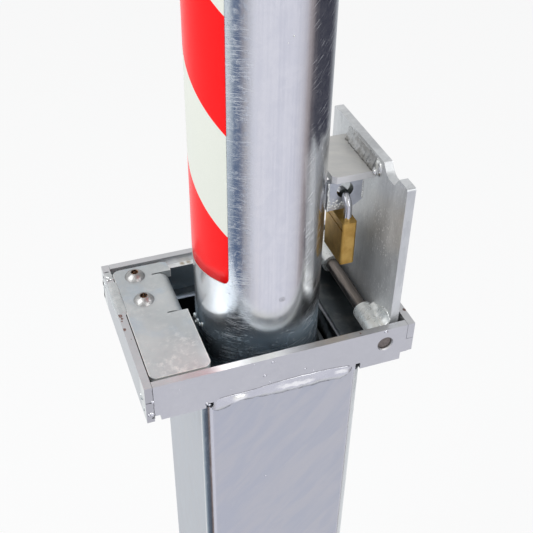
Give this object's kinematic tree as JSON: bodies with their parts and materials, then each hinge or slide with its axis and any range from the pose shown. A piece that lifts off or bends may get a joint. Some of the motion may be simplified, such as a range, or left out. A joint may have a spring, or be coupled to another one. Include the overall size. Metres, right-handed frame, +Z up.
{
  "type": "retractable parking post",
  "caption": "Galvanised round parking post with red and white bands that sinks into a square ground sleeve, with hinged lid, retaining plate and padlock.",
  "frame": {"origin": "on the post's axis, at the underside of the sleeve's foot plate", "axes": "+Z up along the post, +X towards the hinged lid, -Y the front; the ground is at z = 0.840"},
  "size_m": [0.219, 0.1518, 1.44],
  "materials": {
    "galvanised_sleeve": "hot-dip galvanised, faint spangle, satin",
    "galvanised_frame": "hot-dip galvanised, runs and pimples",
    "galvanised_dark": "hot-dip galvanised, dull",
    "zinc_weld": "galvanised weld bead, glossy",
    "galvanised_plate": "hot-dip galvanised, mottled",
    "rusty_screw": "plain steel head with a rusty socket",
    "axle_steel": "plain steel, worn",
    "galvanised_lid": "hot-dip galvanised, blue-grey spangle",
    "galvanised_post": "hot-dip galvanised tube, bright patches and scratches",
    "sheet_white": "retro-reflective sheet, white",
    "sheet_red": "retro-reflective sheet, red",
    "shackle_chrome": "polished chrome",
    "padlock_brass": "brushed brass, tarnished",
    "plug_brass": "machined brass"
  },
  "bodies": {
    "root": {"foundation_sleeve": "galvanised_sleeve", "sleeve_foot_plate": "galvanised_sleeve", "frame_front_bar": "galvanised_frame", "frame_back_bar": "galvanised_frame", "frame_left_bar": "galvanised_frame", "frame_right_bar": "galvanised_frame", "frame_floor_plate": "galvanised_dark", "back_ledge": "galvanised_dark", "front_ledge": "galvanised_dark", "screw_block": "galvanised_dark", "front_weld_bead": "zinc_weld", "retaining_plate": "galvanised_plate", "retaining_screws": "rusty_screw", "hinge_axle": "axle_steel"},
    "lid": {"lid_plate": "galvanised_lid", "hinge_knuckle_front": "galvanised_lid", "hinge_knuckle_back": "galvanised_lid", "lid_shelf": "galvanised_lid", "shelf_weld": "zinc_weld", "padlock_lug": "galvanised_lid"},
    "post": {"post_tube": "galvanised_post", "guide_collar": "galvanised_dark", "collar_weld": "zinc_weld", "foot_guide": "galvanised_dark", "post_cap": "galvanised_post", "reflective_sheet": "sheet_white", "reflective_stripes": "sheet_red"},
    "shackle": {"padlock_shackle": "shackle_chrome"},
    "padlock": {"padlock_body": "padlock_brass"},
    "plug": {"padlock_plug": "plug_brass"}
  },
  "joints": [
    {"name": "post_slide", "type": "slide", "parent": "root", "child": "post", "axis": [0, 0, 1], "range_m": [-0.653, 0]},
    {"name": "lid_lean", "type": "hinge", "parent": "root", "child": "lid", "pos_m": [0.0814, 0, 0.825], "axis": [0, 1, 0], "range_deg": [0, 12.5]},
    {"name": "padlock_swing", "type": "hinge", "parent": "lid", "child": "shackle", "pos_m": [0.0652, -0.011, 0.9331], "axis": [0, 1, 0], "range_deg": [-16, 7]},
    {"name": "padlock_release", "type": "slide", "parent": "shackle", "child": "padlock", "axis": [0, 0, -1], "range_m": [0, 0.008]},
    {"name": "plug_turn", "type": "hinge", "parent": "padlock", "child": "plug", "pos_m": [0.0652, -0.011, 0.88], "axis": [0, 0, 1], "range_deg": [0, 90]}
  ]
}
